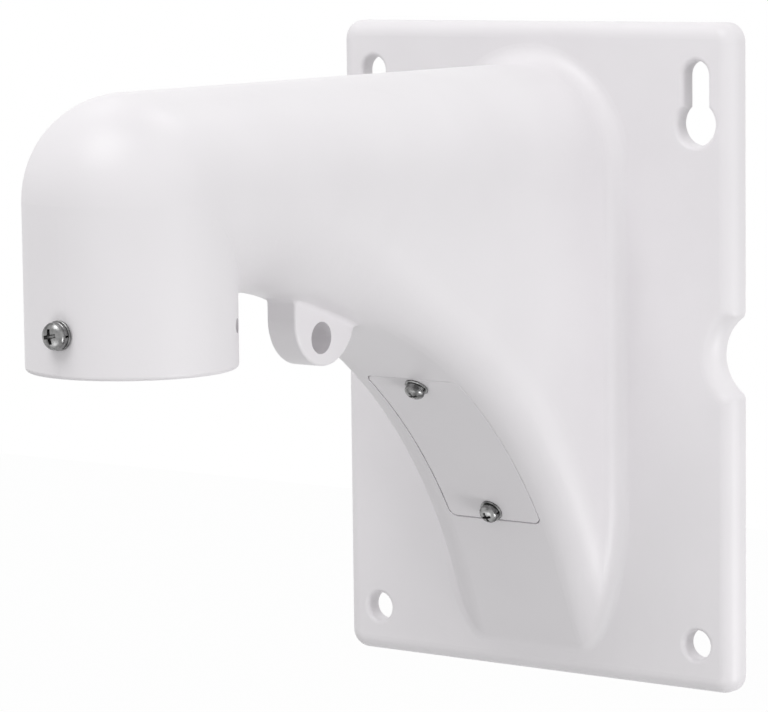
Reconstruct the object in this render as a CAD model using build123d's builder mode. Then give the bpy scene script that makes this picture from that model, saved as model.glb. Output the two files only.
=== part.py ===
# Camera wall bracket: a hollow die-cast arm on a wall plate, with a cable cover under the arm.
# Millimetres. +Z is up, the wall is the plane Y = 0 and the arm reaches out towards -Y.
# The origin is the middle of the plate's back.
import os
from math import asin, atan, cos, degrees, radians, sin, sqrt, tan

from build123d import *

# Wall plate
plate_width = 173.0
plate_height = 240.0
plate_depth = 9.0
plate_corner_radius = 7.0
plate_edge_radius = 5.8
plate_wall = 4.2
back_rim_width = 7.0
rib_spacing = 92.0
rib_count = 2
rib_thickness = 3.5
hole_boss_width = 6.5
hole_boss_depth = 2.6

# Half-round notches in the plate's two long sides
notch_radius = 16.5
notch_depth = 8.0
notch_height = 2.0
notch_corner_radius = 3.0

# Keyholes at the top of the plate and round holes at its foot, placed from the plate's edges
keyhole_side_inset = 15.3
keyhole_top_inset = 18.5
keyhole_slot_radius = 5.1
keyhole_head_radius = 7.8
keyhole_head_drop = 17.3
foot_hole_side_inset = 15.3
foot_hole_foot_inset = 17.2
foot_hole_radius = 5.3
hole_lip_radius = 1.8

# Arm: a round tube at the drop that turns into a half-round top on a flat, rounded underside
reach = 232.5
root_half_width = 36.5
root_crown_inset = 14.7
crown_fall = 1.2
wall = 4.5
root_fillet = 7.0
underside_corner_radius = 16.0
round_run = 58.0
round_blend_length = 82.0
least_straight = 3.0

# Underside: one long arc from the drop, then a straight run down to the plate
arm_thickness = 66.9
underside_setback = 28.5
foot_inset = 11.5
foot_run = 31.3
arc_section_count = 10
root_overlap = 2.0
cavity_foot_inset = 26.0

# Drop: threaded collar and lock screw holes
drop_radius = 34.2
drop_length = 88.5
rim_edge_radius = 1.5
collar_length = 26.0
thread_radius = 23.9
mouth_chamfer = 1.5
lock_hole_rise = 14.0
lock_hole_radius = 2.5
lock_hole_count = 3

# Lug for a safety cord
lug_thickness = 12.4
lug_radius = 16.5
lug_setback = 93.0
lug_hang = 29.7
lug_eye_radius = 5.5
lug_eye_forward = 2.5
lug_eye_rise = 9.8
lug_edge_radius = 1.0
lug_fillet = 2.0

# Cover in the underside, with its seal
cover_width = 40.0
cover_length = 76.3
cover_foot_distance = 22.5
cover_thickness = 2.5
cover_corner_radius = 3.0
cover_edge_radius = 0.5
cover_gap = 0.3
seal_thickness = 1.0
seal_face_clearance = 0.05
seat_width = 7.0
seat_thickness = 5.5
seat_end_width = 12.0
frame_width = 6.0

# Fasteners
cover_screw_radius = 2.0
cover_screw_length = 12.0
cover_screw_inset = 4.6
cover_head_radius = 3.6
cover_head_height = 2.6
cover_spring_radius = 3.55
cover_spring_thickness = 1.1
cover_washer_radius = 4.35
cover_washer_thickness = 0.8
lock_screw_setback = 0.4
lock_head_radius = 4.4
lock_head_height = 3.0
lock_spring_radius = 4.45
lock_spring_thickness = 1.3
lock_washer_radius = 4.8
lock_washer_thickness = 1.0
screw_hole_clearance = 0.3
thread_clearance = 0.05
washer_hole_clearance = 0.15
washer_seat_clearance = 0.06
spring_slit = 0.7
spring_slit_turn = 12
washer_edge_chamfer = 0.2
head_skirt_share = 0.2
recess_length_share = 1.15
recess_width_share = 0.3
recess_depth_share = 0.6
recess_taper = 12
recess_turn = 10

# Heights worked out from the sizes above
plate_top_height = plate_height / 2
plate_foot_height = -plate_height / 2
root_crown_height = plate_top_height - root_crown_inset
crown_height = root_crown_height - crown_fall
drop_centre_height = crown_height - drop_radius
tube_bottom_height = crown_height - 2 * drop_radius
arm_bottom_height = crown_height - arm_thickness
rim_height = crown_height - drop_length
lock_hole_height = rim_height + lock_hole_rise
collar_top_height = rim_height + collar_length
foot_height = plate_foot_height + foot_inset
cavity_foot_height = plate_foot_height + cavity_foot_inset
keyhole_slot_height = plate_top_height - keyhole_top_inset
keyhole_head_height = keyhole_slot_height - keyhole_head_drop
near = 0.01

# The arc that ends in a straight run of the given length, down to the foot on the plate
underside_start = underside_setback - reach
arc_run = -plate_depth - underside_start
arc_drop = arm_bottom_height - foot_height
half_turn = arc_drop / (arc_run + foot_run)
arc_end_angle = 2 * degrees(atan(half_turn))
underside_radius = (arc_run * (1 + half_turn**2) - foot_run * (1 - half_turn**2)) / (2 * half_turn)
arc_centre_height = arm_bottom_height - underside_radius


def arc_point(angle, radius):
    """Point (y, z) on a circle about the underside's centre, at an angle from straight up."""
    return (underside_start + radius * sin(radians(angle)), arc_centre_height + radius * cos(radians(angle)))


def arc_plane(angle, radius):
    """Plane touching the underside's circle, its normal pointing out of the bracket."""
    y, z = arc_point(angle, radius)
    return Plane(origin=(0, y, z), x_dir=(1, 0, 0), z_dir=(0, -sin(radians(angle)), -cos(radians(angle))))


def underside(distance, inset):
    """Height and slope of the arm's underside at a distance from the wall."""
    run = -distance - underside_start
    end_y, end_height = arc_point(arc_end_angle, underside_radius)
    height = tube_bottom_height
    slope = 0
    if -distance > end_y:
        slope = radians(arc_end_angle)
        height = end_height - (-distance - end_y) * tan(slope)
    elif run > 0:
        level = sqrt(underside_radius**2 - run**2)
        if arc_centre_height + level < tube_bottom_height:
            height = arc_centre_height + level
            slope = atan(run / level)
    return (height + inset / cos(slope), slope)


def arm_section(distance, inset):
    """Section of the arm at a distance from the wall, moved inwards by the inset."""
    share = distance / reach
    half_width = root_half_width + (drop_radius - root_half_width) * share - inset
    crown = root_crown_height - crown_fall * share - inset
    centre = crown - half_width
    low, slope = underside(distance, inset)
    round_share = (distance - reach + round_run + round_blend_length) / round_blend_length
    round_share = min(max(round_share, 0), 1)
    round_share = round_share**2 * (3 - 2 * round_share)
    flat_corner = underside_corner_radius - inset
    across = flat_corner + (half_width - least_straight - flat_corner) * round_share
    upright = min(across / cos(slope), centre - low - least_straight)
    with BuildSketch(Plane.XZ.offset(distance)) as section:
        with BuildLine():
            ThreePointArc((half_width, centre), (0, crown), (-half_width, centre))
            Line((-half_width, centre), (-half_width, low + upright))
            EllipticalCenterArc((across - half_width, low + upright), across, upright, 180, arc_size=90)
            Line((across - half_width, low), (half_width - across, low))
            EllipticalCenterArc((half_width - across, low + upright), across, upright, 270, arc_size=90)
            Line((half_width, low + upright), (half_width, centre))
        make_face()
    return section.sketch


def arm_form(inset, last_distance):
    """The arm as a smooth solid from the drop's axis to a last section inside the plate."""
    step = arc_end_angle / (arc_section_count - 1)
    distances = [reach]
    for number in range(arc_section_count):
        distances.append(-arc_point(step * number, underside_radius)[0])
    distances.append(last_distance)
    with BuildPart() as form:
        loft(sections=[arm_section(distance, inset).face() for distance in distances])
    return form.part


def drop_form(inset, low):
    """The drop: a cylinder under a half ball, with its surface moved inwards by the inset."""
    radius = drop_radius - inset
    with BuildPart() as drop:
        with BuildSketch(Plane.YZ):
            with BuildLine():
                Line((-reach, low), (-reach - radius, low))
                Line((-reach - radius, low), (-reach - radius, drop_centre_height))
                RadiusArc(
                    (-reach - radius, drop_centre_height), (-reach, drop_centre_height + radius), radius
                )
                Line((-reach, drop_centre_height + radius), (-reach, low))
            make_face()
        revolve(axis=Axis((0, -reach, 0), (0, 0, 1)))
    return drop.part


def cavity_form():
    """The hollow inside the arm and the drop."""
    with BuildPart() as cavity:
        add(arm_form(wall, 0))
        split(bisect_by=Plane.XY.offset(cavity_foot_height), keep=Keep.TOP)
        add(drop_form(wall, collar_top_height))
    return cavity.part


def underside_band(inner_radius, outer_radius, width, length, corner_radius):
    """A curved slab that follows the underside, centred on the cover."""
    middle_angle = (cover_start_angle + cover_end_angle) / 2
    with BuildPart() as band:
        with BuildSketch(arc_plane(middle_angle, outer_radius)):
            RectangleRounded(width, length, corner_radius)
        extrude(amount=width, both=True)
        with BuildSketch(Plane.YZ):
            with Locations((underside_start, arc_centre_height)):
                Circle(outer_radius)
                Circle(inner_radius, mode=Mode.SUBTRACT)
        extrude(amount=width, both=True, mode=Mode.INTERSECT)
    return band.part


def window_form():
    """The window through the frame and the seal, which the cover closes."""
    return underside_band(pocket_start, frame_end, window_width, window_length, pocket_corner)


def radial_hole(angle, inner_radius, outer_radius, radius):
    """A round hole square to the underside, cut between two distances from its centre."""
    with BuildPart() as hole:
        with BuildSketch(arc_plane(angle, outer_radius)):
            Circle(radius)
        extrude(amount=outer_radius - inner_radius)
    return hole.part


def side_notches(margin):
    """Outlines of the two side notches, grown by a margin."""
    across = plate_width / 2 - notch_depth + notch_radius
    with BuildSketch() as notches:
        with Locations((across, notch_height), (-across, notch_height)):
            Circle(notch_radius + margin)
    return notches.sketch


def back_recess():
    """Outline of the hollow in the plate's back: all but the rim and the flat land round the arm's hollow."""
    land_foot = cavity_foot_height - wall
    centre = root_crown_height - root_half_width
    with BuildSketch() as recess:
        RectangleRounded(
            plate_width - 2 * back_rim_width, plate_height - 2 * back_rim_width, plate_corner_radius
        )
        add(side_notches(back_rim_width), mode=Mode.SUBTRACT)
        with BuildLine():
            ThreePointArc((root_half_width, centre), (0, root_crown_height), (-root_half_width, centre))
            Line((-root_half_width, centre), (-root_half_width, land_foot))
            Line((-root_half_width, land_foot), (root_half_width, land_foot))
            Line((root_half_width, land_foot), (root_half_width, centre))
        make_face(mode=Mode.SUBTRACT)
    return recess.sketch


def wall_holes(margin):
    """Outlines of the two keyholes and the two round holes, grown by a margin."""
    with BuildSketch() as holes:
        for side in (-1, 1):
            across = side * (plate_width / 2 - keyhole_side_inset)
            with Locations((across, keyhole_head_height)):
                Circle(keyhole_head_radius + margin)
            with Locations((across, keyhole_slot_height)):
                Circle(keyhole_slot_radius + margin)
            with Locations((across, keyhole_slot_height - keyhole_head_drop / 2)):
                Rectangle(2 * (keyhole_slot_radius + margin), keyhole_head_drop)
            foot_across = side * (plate_width / 2 - foot_hole_side_inset)
            with Locations((foot_across, plate_foot_height + foot_hole_foot_inset)):
                Circle(foot_hole_radius + margin)
    return holes.sketch


def lug_form():
    """The lug under the arm: a plate with a round end and rounded edges, its top inside the arm."""
    middle = lug_setback - reach
    bottom = arm_bottom_height - lug_hang
    centre = bottom + lug_radius
    with BuildPart() as lug:
        with BuildSketch(Plane.YZ):
            with BuildLine():
                ThreePointArc((middle - lug_radius, centre), (middle, bottom), (middle + lug_radius, centre))
                Line((middle + lug_radius, centre), (middle + lug_radius, arm_bottom_height))
                Line((middle + lug_radius, arm_bottom_height), (middle - lug_radius, arm_bottom_height))
                Line((middle - lug_radius, arm_bottom_height), (middle - lug_radius, centre))
            make_face()
        extrude(amount=lug_thickness / 2, both=True)
        fillet(lug.faces().filter_by(Axis.X).edges(), radius=lug_edge_radius)
        with BuildSketch(Plane.YZ):
            with Locations((middle - lug_eye_forward, bottom + lug_eye_rise)):
                Circle(lug_eye_radius)
        extrude(amount=lug_thickness, both=True, mode=Mode.SUBTRACT)
    return lug.part


def washer_rim(part, radius):
    """The two outer round edges of a washer."""
    return [
        edge for edge in part.edges().filter_by(GeomType.CIRCLE) if abs(edge.radius - radius) < near
    ]


def flat_washer(plane, radius, hole_radius, thickness):
    """A plain washer lying on a plane."""
    with BuildPart() as washer:
        with BuildSketch(plane):
            Circle(radius)
            Circle(hole_radius, mode=Mode.SUBTRACT)
        extrude(amount=thickness)
        chamfer(washer_rim(washer, radius), length=washer_edge_chamfer)
    return washer.part


def spring_washer(plane, radius, hole_radius, thickness):
    """A split ring lying on a plane."""
    with BuildPart() as washer:
        with BuildSketch(plane):
            Circle(radius)
            Circle(hole_radius, mode=Mode.SUBTRACT)
        extrude(amount=thickness)
        chamfer(washer_rim(washer, radius), length=washer_edge_chamfer)
        with BuildSketch(plane):
            with Locations((radius, 0)):
                Rectangle(2 * radius, spring_slit, rotation=spring_slit_turn)
        extrude(amount=thickness, mode=Mode.SUBTRACT)
    return washer.part


def pan_screw(plane, shank_radius, length, head_radius, head_height):
    """A screw with a domed head that stands on a plane, and a tapered cross recess."""
    skirt = head_height * head_skirt_share
    with BuildPart() as screw:
        with BuildSketch(Plane(origin=plane.origin, x_dir=plane.x_dir, z_dir=-plane.y_dir)):
            with BuildLine():
                Polyline((0, head_height), (0, -length), (shank_radius, -length), (shank_radius, 0))
                Polyline((shank_radius, 0), (head_radius, 0), (head_radius, skirt))
                EllipticalCenterArc((0, skirt), head_radius, head_height - skirt, 0, arc_size=90)
            make_face()
        revolve(axis=Axis(plane.origin, plane.z_dir))
        with BuildSketch(plane.offset(head_height)):
            for turn in (recess_turn, recess_turn + 90):
                Rectangle(head_radius * recess_length_share, head_radius * recess_width_share, rotation=turn)
        extrude(amount=-head_height * recess_depth_share, taper=recess_taper, mode=Mode.SUBTRACT)
    return screw.part


cover_end_angle = arc_end_angle - degrees(cover_foot_distance / underside_radius)
cover_start_angle = cover_end_angle - 2 * degrees(asin(cover_length / 2 / underside_radius))
screw_inset_angle = degrees(cover_screw_inset / underside_radius)
screw_angles = (cover_start_angle + screw_inset_angle, cover_end_angle - screw_inset_angle)
seal_radius = underside_radius + cover_thickness
seat_radius = seal_radius + seal_thickness
frame_radius = seat_radius + seat_thickness
frame_end = frame_radius + wall
pocket_start = underside_radius - wall
pocket_width = cover_width + 2 * cover_gap
pocket_length = cover_length + 2 * cover_gap
pocket_corner = cover_corner_radius + cover_gap
window_width = cover_width - 2 * seat_width
window_length = cover_length - 2 * seat_end_width
frame_outer_width = pocket_width + 2 * frame_width
frame_outer_length = pocket_length + 2 * frame_width
screw_way_radius = cover_screw_radius + screw_hole_clearance

with BuildPart() as bracket_body:
    # Plate with its side notches
    with BuildSketch(Plane.XZ):
        RectangleRounded(plate_width, plate_height, plate_corner_radius)
        add(side_notches(0), mode=Mode.SUBTRACT)
    extrude(amount=plate_depth)
    corner_edges = [
        edge
        for edge in bracket_body.edges().filter_by(Axis.Y)
        if abs((edge @ 0.5).Z) < notch_radius + notch_height
    ]
    fillet(corner_edges, radius=notch_corner_radius)
    fillet(bracket_body.faces().sort_by(Axis.Y)[0].edges(), radius=plate_edge_radius)

    # Arm and the flare all round its root
    add(arm_form(0, plate_depth - root_overlap))
    root_edges = [
        edge
        for edge in bracket_body.edges()
        if all(abs((edge @ t).Y + plate_depth) < near for t in (0, 0.5, 1))
        and abs((edge @ 0.5).X) < root_half_width + near
        and plate_foot_height + plate_edge_radius + near < (edge @ 0.5).Z < root_crown_height + near
    ]
    fillet(root_edges, radius=root_fillet)

    # Drop with its rounded rim
    add(drop_form(0, rim_height))
    drop_rim = [
        edge
        for edge in bracket_body.edges()
        if abs((edge @ 0.5).Z - rim_height) < near and (edge @ 0.5).Y < -reach + drop_radius + near
    ]
    fillet(drop_rim, radius=rim_edge_radius)

    # Lug under the arm, with a small fillet round its root
    add(lug_form())
    lug_root_edges = [
        edge
        for edge in bracket_body.edges()
        if abs((edge @ 0.5).X) < lug_thickness / 2 + near
        and abs((edge @ 0.5).Y + reach - lug_setback) < lug_radius + near
        and abs((edge @ 0.5).Z - underside(-(edge @ 0.5).Y, 0)[0]) < lug_edge_radius / 2
    ]
    fillet(lug_root_edges, radius=lug_fillet)

    # Hollow inside
    add(cavity_form(), mode=Mode.SUBTRACT)

    # Thicker frame inside the underside, round the cover's window
    frame_start = underside_radius + wall / 2
    add(underside_band(frame_start, frame_radius, frame_outer_width, frame_outer_length, wall))
    add(
        underside_band(pocket_start, seat_radius, pocket_width, pocket_length, pocket_corner),
        mode=Mode.SUBTRACT,
    )
    add(window_form(), mode=Mode.SUBTRACT)
    for angle in screw_angles:
        add(radial_hole(angle, pocket_start, frame_end, cover_screw_radius), mode=Mode.SUBTRACT)

    # Threaded collar in the drop
    with BuildSketch(Plane.XY.offset(rim_height)):
        with Locations((0, -reach)):
            Circle(thread_radius)
    extrude(amount=collar_length, mode=Mode.SUBTRACT)
    mouth_edges = [
        edge
        for edge in bracket_body.edges().filter_by(GeomType.CIRCLE)
        if abs((edge @ 0.5).Z - rim_height) < near and abs(edge.radius - thread_radius) < near
    ]
    chamfer(mouth_edges, length=mouth_chamfer)
    for number in range(lock_hole_count):
        turn = 360 / lock_hole_count * number
        out = (sin(radians(turn)), -cos(radians(turn)), 0)
        with BuildSketch(Plane(origin=(0, -reach, lock_hole_height), x_dir=(0, 0, 1), z_dir=out)):
            Circle(lock_hole_radius)
        extrude(amount=drop_radius + wall, mode=Mode.SUBTRACT)

    # Back of the plate: a deep recess, shallower round the holes, with a rim, ribs and a land
    with BuildSketch(Plane.XZ):
        add(back_recess())
    extrude(amount=hole_boss_depth, mode=Mode.SUBTRACT)
    with BuildSketch(Plane.XZ):
        add(back_recess())
        add(wall_holes(hole_boss_width), mode=Mode.SUBTRACT)
        with GridLocations(0, rib_spacing, 1, rib_count):
            Rectangle(plate_width, rib_thickness, mode=Mode.SUBTRACT)
    extrude(amount=plate_depth - plate_wall, mode=Mode.SUBTRACT)

    # Keyholes and round holes, with rounded lips in front
    with BuildSketch(Plane.XZ):
        add(wall_holes(0))
    extrude(amount=plate_depth, mode=Mode.SUBTRACT)
    lip_edges = [
        edge
        for edge in bracket_body.edges()
        if all(abs((edge @ t).Y + plate_depth) < near for t in (0, 0.5, 1))
        and root_half_width + root_fillet < abs((edge @ 0.5).X) < plate_width / 2 - plate_edge_radius - near
    ]
    fillet(lip_edges, radius=hole_lip_radius)

with BuildPart() as access_cover:
    add(underside_band(underside_radius, seal_radius, cover_width, cover_length, cover_corner_radius))
    outer_edges = [
        edge
        for face in access_cover.faces().filter_by(GeomType.CYLINDER)
        if abs(face.radius - underside_radius) < near
        for edge in face.edges()
    ]
    fillet(outer_edges, radius=cover_edge_radius)
    for angle in screw_angles:
        add(radial_hole(angle, pocket_start, frame_end, screw_way_radius), mode=Mode.SUBTRACT)

with BuildPart() as cover_seal:
    add(
        underside_band(
            seal_radius + seal_face_clearance,
            seat_radius - seal_face_clearance,
            cover_width - 2 * seal_face_clearance,
            cover_length - 2 * seal_face_clearance,
            cover_corner_radius,
        )
    )
    add(window_form(), mode=Mode.SUBTRACT)
    for angle in screw_angles:
        add(radial_hole(angle, pocket_start, frame_end, screw_way_radius), mode=Mode.SUBTRACT)

os.makedirs("parts", exist_ok=True)
bracket_body.part.label = "bracket_body"
access_cover.part.label = "access_cover"
cover_seal.part.label = "cover_seal"
export_step(bracket_body.part, "parts/bracket_body.step")
export_step(access_cover.part, "parts/access_cover.step")
export_step(cover_seal.part, "parts/cover_seal.step")

# Screws with their washers, each stacked on its seat
fasteners = {}
cover_stack = cover_washer_thickness + cover_spring_thickness
cover_washer_hole = cover_screw_radius + washer_hole_clearance
for place, angle in zip(("upper", "lower"), screw_angles):
    seat = arc_plane(angle, underside_radius - washer_seat_clearance)
    fasteners["cover_flat_washer_" + place] = flat_washer(
        seat, cover_washer_radius, cover_washer_hole, cover_washer_thickness
    )
    fasteners["cover_spring_washer_" + place] = spring_washer(
        seat.offset(cover_washer_thickness), cover_spring_radius, cover_washer_hole, cover_spring_thickness
    )
    fasteners["cover_screw_" + place] = pan_screw(
        seat.offset(cover_stack),
        cover_screw_radius - thread_clearance,
        cover_screw_length,
        cover_head_radius,
        cover_head_height,
    )

lock_stack = lock_washer_thickness + lock_spring_thickness
lock_washer_hole = lock_hole_radius + washer_hole_clearance
lock_shank_length = drop_radius - thread_radius + lock_stack - lock_screw_setback
lock_seat = Plane(
    origin=(0, -reach - drop_radius - washer_seat_clearance, lock_hole_height),
    x_dir=(1, 0, 0),
    z_dir=(0, -1, 0),
)
fasteners["lock_flat_washer"] = flat_washer(
    lock_seat, lock_washer_radius, lock_washer_hole, lock_washer_thickness
)
fasteners["lock_spring_washer"] = spring_washer(
    lock_seat.offset(lock_washer_thickness), lock_spring_radius, lock_washer_hole, lock_spring_thickness
)
fasteners["lock_screw"] = pan_screw(
    lock_seat.offset(lock_stack),
    lock_hole_radius - thread_clearance,
    lock_shank_length,
    lock_head_radius,
    lock_head_height,
)

for name, piece in fasteners.items():
    piece.label = name
    export_step(piece, "parts/" + name + ".step")
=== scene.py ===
# %% [markdown]
# # A cast camera bracket
#
# This bracket hangs a camera from an outside wall. It is one hollow aluminium casting with a white
# powder coat, a curved cover under the arm, and a few steel screws. All these pieces come from the
# CAD model with their real sizes. This lesson loads them and gives them their finish, and adds what
# the CAD model leaves out: the pipe thread in the drop and the round marks of the mould's pins.

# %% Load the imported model
import math

import bmesh
import bpy
from mathutils import Matrix, Vector


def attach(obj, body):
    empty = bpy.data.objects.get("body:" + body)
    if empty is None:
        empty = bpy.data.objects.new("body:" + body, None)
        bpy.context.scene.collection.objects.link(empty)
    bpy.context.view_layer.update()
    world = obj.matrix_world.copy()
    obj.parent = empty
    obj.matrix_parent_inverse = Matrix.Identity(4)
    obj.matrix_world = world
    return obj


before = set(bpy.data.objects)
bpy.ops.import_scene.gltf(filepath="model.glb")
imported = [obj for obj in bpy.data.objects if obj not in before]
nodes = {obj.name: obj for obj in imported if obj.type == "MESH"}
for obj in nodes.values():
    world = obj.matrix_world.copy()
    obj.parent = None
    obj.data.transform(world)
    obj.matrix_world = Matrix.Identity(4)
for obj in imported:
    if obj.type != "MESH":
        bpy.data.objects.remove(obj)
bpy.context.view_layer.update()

mm = 0.001
print("pieces from the CAD model:", sorted(nodes))

# %% [markdown]
# ## The camera
#
# The photograph was taken from the right, a little above the arm, through a long lens. A long lens
# keeps the plate's edges almost parallel. The direction is set by how far the camera stands to the
# right, how high it stands, and how much it leans. The values were found by lining up the corners
# of the plate and the ends of the drop.

# %% Place the camera
image_width = 768
lens_in_pixels = 3781.0
sensor_width = 36.0
far_limit = 50.0
to_the_right = math.radians(37.0)
above = math.radians(6.57)
lean = math.radians(-0.69)
distance = 1.3153
look_at = Vector((0, -0.100, 0.0066))
aside = 0.00074

on_the_ground = Vector((math.sin(to_the_right), -math.cos(to_the_right), 0))
back = math.cos(above) * on_the_ground + math.sin(above) * Vector((0, 0, 1))
level = Vector((math.cos(to_the_right), math.sin(to_the_right), 0))
upright = back.cross(level)
right = math.cos(lean) * level + math.sin(lean) * upright
up = math.cos(lean) * upright - math.sin(lean) * level
eye = look_at + aside * level + distance * back

bpy.ops.object.camera_add(location=eye)
camera = bpy.context.object
camera.name = "camera"
camera.matrix_world = Matrix.Translation(eye) @ Matrix((right, up, back)).transposed().to_4x4()
camera.data.sensor_fit = "HORIZONTAL"
camera.data.sensor_width = sensor_width
camera.data.lens = lens_in_pixels / image_width * sensor_width
camera.data.clip_end = far_limit
bpy.context.scene.camera = camera
print("camera at", [round(value, 3) for value in eye], "lens", round(camera.data.lens, 1))

# %% [markdown]
# ## Light and background
#
# White things are shown by soft shades of grey, so the light has to be even but not equal. The
# strongest lamp stands high in front and lights the top and the plate. Two weak ones hang over the
# arm and leave two soft shines on its elbow. The side of the arm and its rounded lower edge are lit
# from low on the right, so they stay pale while the underside turns grey. Lamps low in front and on
# the left lift the underside. The sky gives the rest. The camera and mirrors see a white sky.

# %% A plain studio
sky_light = 0.617
background_white = 1.0
white = (1.0, 1.0, 1.0, 1.0)
middle = (0, -0.12, 0.0)
lamps = [
    # name, place in metres, side in metres, power in watts
    ("lamp high in front", (0.0, -1.038, 1.311), 0.9, 11.0),
    ("lamp over the left", (-0.75, 0.08, 1.45), 0.5, 0.9),
    ("lamp over the back", (0.13, 0.62, 1.42), 0.5, 2.2),
    ("lamp low on the right", (1.45, -0.12, -0.676), 0.7, 10.2),
    ("lamp behind the right", (1.338, 0.653, -0.414), 0.7, 2.4),
    ("lamp low in front", (0.0, -1.346, -1.028), 0.9, 5.4),
    ("lamp low on the left", (-0.693, -1.32, -0.8), 0.9, 1.3),
]


def seen_or_not(tree, seen, unseen):
    """Joins two shaders: one for the camera, mirrors and glass, and one for all other light."""
    path = tree.nodes.new("ShaderNodeLightPath")
    either = tree.nodes.new("ShaderNodeMath")
    either.operation = "MAXIMUM"
    any_of_three = tree.nodes.new("ShaderNodeMath")
    any_of_three.operation = "MAXIMUM"
    mix = tree.nodes.new("ShaderNodeMixShader")
    tree.links.new(path.outputs["Is Camera Ray"], either.inputs[0])
    tree.links.new(path.outputs["Is Glossy Ray"], either.inputs[1])
    tree.links.new(either.outputs[0], any_of_three.inputs[0])
    tree.links.new(path.outputs["Is Transmission Ray"], any_of_three.inputs[1])
    tree.links.new(any_of_three.outputs[0], mix.inputs[0])
    tree.links.new(unseen.outputs[0], mix.inputs[1])
    tree.links.new(seen.outputs[0], mix.inputs[2])
    return mix


def white_sky():
    """The world: a soft sky for light, and white for the camera."""
    world = bpy.data.worlds.new("white sky")
    bpy.context.scene.world = world
    world.use_nodes = True
    tree = world.node_tree
    tree.nodes.clear()
    soft = tree.nodes.new("ShaderNodeBackground")
    soft.inputs["Color"].default_value = white
    soft.inputs["Strength"].default_value = sky_light
    seen = tree.nodes.new("ShaderNodeBackground")
    seen.inputs["Color"].default_value = white
    seen.inputs["Strength"].default_value = background_white
    out = tree.nodes.new("ShaderNodeOutputWorld")
    tree.links.new(seen_or_not(tree, seen, soft).outputs[0], out.inputs["Surface"])


def soft_lamp(name, place, side, power):
    """A square lamp that faces the middle of the bracket."""
    bpy.ops.object.light_add(type="AREA", location=place)
    lamp = bpy.context.object
    lamp.name = name
    lamp.data.shape = "RECTANGLE"
    lamp.data.size = side
    lamp.data.size_y = side
    lamp.data.energy = power
    lamp.rotation_euler = (Vector(middle) - Vector(place)).to_track_quat("-Z", "Y").to_euler()


white_sky()
for name, place, side, power in lamps:
    soft_lamp(name, place, side, power)
bpy.context.scene.view_settings.view_transform = "Standard"

# %% [markdown]
# ## The floor
#
# The floor lies well below the bracket. It lights the bracket as a plain matt floor does. The
# camera and mirrors see it almost as white as the sky, with only a trace of shade.

# %% A pale floor below the bracket
floor_height = -1.20
floor_size = 12.0
floor_grey = (0.30, 0.30, 0.30, 1.0)
floor_glow_share = 0.985

bpy.ops.mesh.primitive_plane_add(size=floor_size, location=(0, 0, floor_height))
floor = bpy.context.object
floor.name = "floor"
floor_look = bpy.data.materials.new("pale floor")
floor_look.use_nodes = True
tree = floor_look.node_tree
tree.nodes.clear()
matt = tree.nodes.new("ShaderNodeBsdfDiffuse")
matt.inputs["Color"].default_value = floor_grey
glow = tree.nodes.new("ShaderNodeEmission")
glow.inputs["Color"].default_value = white
glow.inputs["Strength"].default_value = background_white
nearly_white = tree.nodes.new("ShaderNodeMixShader")
nearly_white.inputs[0].default_value = floor_glow_share
floor_out = tree.nodes.new("ShaderNodeOutputMaterial")
tree.links.new(matt.outputs[0], nearly_white.inputs[1])
tree.links.new(glow.outputs[0], nearly_white.inputs[2])
tree.links.new(seen_or_not(tree, nearly_white, matt).outputs[0], floor_out.inputs["Surface"])
floor.data.materials.append(floor_look)
print("floor at", floor_height)

# %% [markdown]
# ## White powder coat
#
# Powder coat is plastic powder that melts on the casting in an oven. It flows into an even skin
# with faint dimples about a millimetre apart, which break up a reflection a little. A single colour
# looks like paper, so the coat also has very faint clouds in its tone and its gloss.

# %% The coat
coat_white = (0.806, 0.786, 0.806, 1.0)
coat_white_in_clouds = (0.786, 0.766, 0.786, 1.0)
coat_roughness = (0.36, 0.44)
cloud_size = 45 * mm
dimple_size = 1.3 * mm
dimple_depth = 0.02 * mm
grain_size = 0.35 * mm
grain_depth = 0.004 * mm


def new_look(name):
    """A material with a fresh shader and its output."""
    look = bpy.data.materials.new(name)
    look.use_nodes = True
    tree = look.node_tree
    tree.nodes.clear()
    shader = tree.nodes.new("ShaderNodeBsdfPrincipled")
    out = tree.nodes.new("ShaderNodeOutputMaterial")
    tree.links.new(shader.outputs[0], out.inputs["Surface"])
    return look, tree, shader


def noise(tree, size, detail=2.0):
    """Noise with lumps of about this size, in the piece's own coordinates."""
    place = tree.nodes.new("ShaderNodeTexCoord")
    lumps = tree.nodes.new("ShaderNodeTexNoise")
    lumps.inputs["Scale"].default_value = 1.0 / size
    lumps.inputs["Detail"].default_value = detail
    tree.links.new(place.outputs["Object"], lumps.inputs["Vector"])
    return lumps


def tint(tree, shader, source, low, high, start=0.35, end=0.65):
    """Colours the shader with a blend of two colours that follows the noise."""
    ramp = tree.nodes.new("ShaderNodeValToRGB")
    ramp.color_ramp.elements[0].position = start
    ramp.color_ramp.elements[1].position = end
    ramp.color_ramp.elements[0].color = low
    ramp.color_ramp.elements[1].color = high
    tree.links.new(source.outputs["Fac"], ramp.inputs["Fac"])
    tree.links.new(ramp.outputs["Color"], shader.inputs["Base Color"])


def roughen(tree, shader, source, limits):
    """Gives the shader a roughness that follows the noise between two limits."""
    spread = tree.nodes.new("ShaderNodeMapRange")
    spread.inputs["To Min"].default_value = limits[0]
    spread.inputs["To Max"].default_value = limits[1]
    tree.links.new(source.outputs["Fac"], spread.inputs["Value"])
    tree.links.new(spread.outputs["Result"], shader.inputs["Roughness"])


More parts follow.
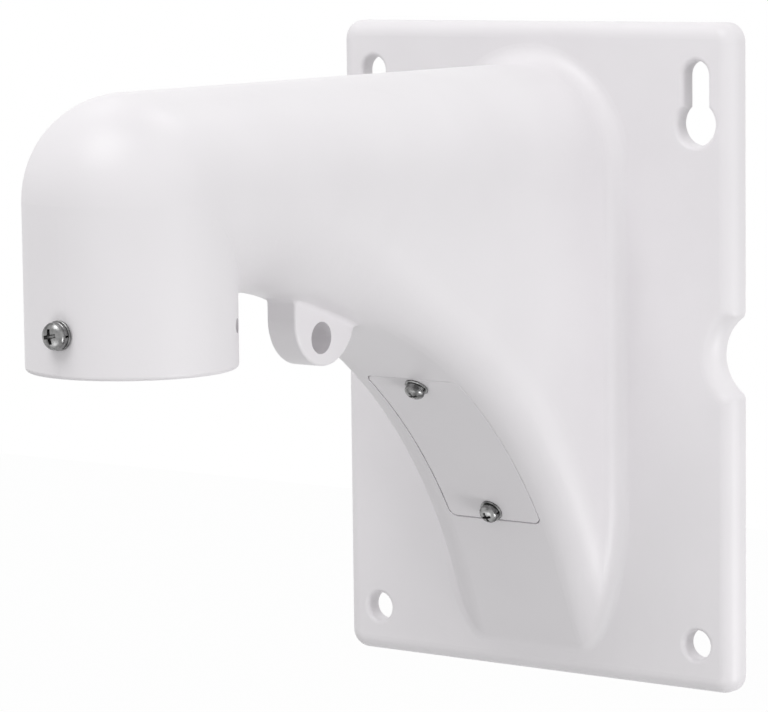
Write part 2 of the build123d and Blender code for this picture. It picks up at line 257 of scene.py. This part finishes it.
def bumps(tree, shader, layers):
    """Stacks bump layers, each a texture with its height in metres."""
    last = None
    for source, height in layers:
        bump = tree.nodes.new("ShaderNodeBump")
        bump.inputs["Distance"].default_value = height
        tree.links.new(source.outputs["Fac"], bump.inputs["Height"])
        if last:
            tree.links.new(last.outputs["Normal"], bump.inputs["Normal"])
        last = bump
    tree.links.new(last.outputs["Normal"], shader.inputs["Normal"])


def dress(names, look):
    """Puts one material into the slot of each named piece."""
    for name in names:
        nodes[name].data.materials.clear()
        nodes[name].data.materials.append(look)
    print(look.name, "on", names)


def powder_coat():
    """Satin white powder coat."""
    look, tree, shader = new_look("white powder coat")
    clouds = noise(tree, cloud_size)
    tint(tree, shader, clouds, coat_white_in_clouds, coat_white)
    roughen(tree, shader, clouds, coat_roughness)
    dimples = noise(tree, dimple_size)
    grain = noise(tree, grain_size)
    bumps(tree, shader, [(dimples, dimple_depth), (grain, grain_depth)])
    return look


coat = powder_coat()
dress(["bracket_body", "access_cover"], coat)

# %% [markdown]
# ## Bright steel
#
# The screws and washers are bare stainless steel. They are turned on a lathe or stamped, so they
# are bright but finely scratched, with darker smudges where oil and dust stay.

# %% The steel
steel_dark = (0.11, 0.11, 0.11, 1.0)
steel_bright = (0.32, 0.32, 0.32, 1.0)
steel_roughness = (0.20, 0.36)
smudge_size = 2.5 * mm
scratch_size = 0.25 * mm
scratch_depth = 0.006 * mm


def bright_steel():
    """Stainless steel of small screws."""
    look, tree, shader = new_look("stainless steel")
    smudges = noise(tree, smudge_size, detail=4.0)
    tint(tree, shader, smudges, steel_dark, steel_bright)
    roughen(tree, shader, smudges, steel_roughness)
    shader.inputs["Metallic"].default_value = 1.0
    bumps(tree, shader, [(noise(tree, scratch_size), scratch_depth)])
    return look


dress([name for name in nodes if "screw" in name or "washer" in name], bright_steel())

# %% [markdown]
# ## Seal rubber
#
# The seal is a thin sheet of black foam rubber between the cover and the casting. Only its edge
# shows, as a dark line in the cover's seam.

# %% The seal
rubber_black = (0.012, 0.012, 0.013, 1.0)
rubber_grey = (0.035, 0.035, 0.037, 1.0)
rubber_roughness = (0.7, 0.9)
foam_size = 0.5 * mm
foam_depth = 0.05 * mm


def seal_rubber():
    """Matt black foam rubber."""
    look, tree, shader = new_look("seal rubber")
    cells = noise(tree, foam_size, detail=3.0)
    tint(tree, shader, cells, rubber_black, rubber_grey)
    roughen(tree, shader, cells, rubber_roughness)
    bumps(tree, shader, [(cells, foam_depth)])
    return look


dress(["cover_seal"], seal_rubber())

# %% [markdown]
# ## The pipe thread
#
# The camera's neck screws up into the drop. The CAD model has a plain bore there, as wide as the
# bottom of the thread's grooves. The thread itself is a ridge that winds up the bore like a spring:
# a small profile is drawn once and the screw modifier turns it while it climbs. The ridge starts
# behind the chamfer of the mouth, and its foot lies a little inside the wall so that no gap shows.
# The modifier leaves the two ends open, so they are filled.

# %% Wind the thread
drop_axis_y = -232.5 * mm
bore_radius = 23.9 * mm
crest_radius = 22.45 * mm
thread_pitch = 2.309 * mm
thread_start = 18.2 * mm
thread_turns = 9
crest_flat = 0.35 * mm
foot_flat = 2.0 * mm
foot_depth = 0.25 * mm
steps_in_a_turn = 96
merge_distance = 0.001 * mm
sharp_angle = math.radians(35)


def deselect_all():
    """Leaves edit mode and drops any selection."""
    if bpy.context.object and bpy.context.object.mode != "OBJECT":
        bpy.ops.object.mode_set(mode="OBJECT")
    bpy.ops.object.select_all(action="DESELECT")


def pick(piece):
    """Selects one piece and nothing else."""
    deselect_all()
    piece.select_set(True)
    bpy.context.view_layer.objects.active = piece


def apply_place(piece):
    """Moves a piece's place, turn and size into its mesh."""
    pick(piece)
    bpy.ops.object.transform_apply(location=True, rotation=True, scale=True)


def clean_normals(piece):
    """Merges doubles, points all faces outwards and shades them smoothly up to a sharp edge."""
    pick(piece)
    bpy.ops.object.mode_set(mode="EDIT")
    bpy.ops.mesh.select_all(action="SELECT")
    bpy.ops.mesh.remove_doubles(threshold=merge_distance)
    bpy.ops.mesh.normals_make_consistent(inside=False)
    bpy.ops.object.mode_set(mode="OBJECT")
    bpy.ops.object.shade_smooth_by_angle(angle=sharp_angle)


def join_casting(piece):
    """Coats a new piece and lets it ride on the casting."""
    piece.data.materials.append(coat)
    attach(piece, "root")


deselect_all()
bpy.ops.mesh.primitive_plane_add(size=1.0, location=(0, 0, 0))
thread = bpy.context.object
thread.name = "drop_thread"
corners = [
    (bore_radius + foot_depth, -foot_flat / 2),
    (crest_radius, -crest_flat / 2),
    (crest_radius, crest_flat / 2),
    (bore_radius + foot_depth, foot_flat / 2),
]
profile = bmesh.new()
points = [profile.verts.new((across, 0, height)) for across, height in corners]
profile.faces.new(points)
profile.to_mesh(thread.data)
profile.free()
winding = thread.modifiers.new("winding", "SCREW")
winding.axis = "Z"
winding.angle = math.radians(360)
winding.screw_offset = thread_pitch
winding.iterations = thread_turns
winding.steps = steps_in_a_turn
winding.render_steps = steps_in_a_turn
bpy.ops.object.modifier_apply(modifier="winding")
thread.location = (0, drop_axis_y, thread_start)
apply_place(thread)
bpy.ops.object.mode_set(mode="EDIT")
bpy.ops.mesh.select_all(action="SELECT")
bpy.ops.mesh.fill_holes(sides=len(corners))
clean_normals(thread)
join_casting(thread)
print("thread:", len(thread.data.polygons), "faces")

# %% [markdown]
# ## Marks of the ejector pins
#
# When the mould opens, steel pins push the hot casting out. Each leaves a flat round mark, here a
# little proud of the surface. The pins push where it does not show, on the plate's back.

# %% Stamp the pin marks
pin_radius = 3.0 * mm
pin_proud = 0.25 * mm
pin_sunk = 0.3 * mm
pin_edge = 0.1 * mm
pin_across = 58.0 * mm
pin_heights = (66 * mm, 14 * mm, -20 * mm, -78 * mm)
steps_round_a_pin = 48
recess_floor_y = -4.8 * mm
pin_number = 0
for side in (-1, 1):
    for height in pin_heights:
        pin_number += 1
        deselect_all()
        bpy.ops.mesh.primitive_cylinder_add(
            vertices=steps_round_a_pin,
            radius=pin_radius,
            depth=pin_proud + pin_sunk,
            location=(side * pin_across, recess_floor_y + (pin_proud - pin_sunk) / 2, height),
            rotation=(math.radians(90), 0, 0),
        )
        mark = bpy.context.object
        mark.name = "pin_mark_" + str(pin_number)
        soften = mark.modifiers.new("soften", "BEVEL")
        soften.width = pin_edge
        soften.segments = 2
        bpy.ops.object.modifier_apply(modifier="soften")
        apply_place(mark)
        clean_normals(mark)
        join_casting(mark)
print("pin marks:", pin_number)
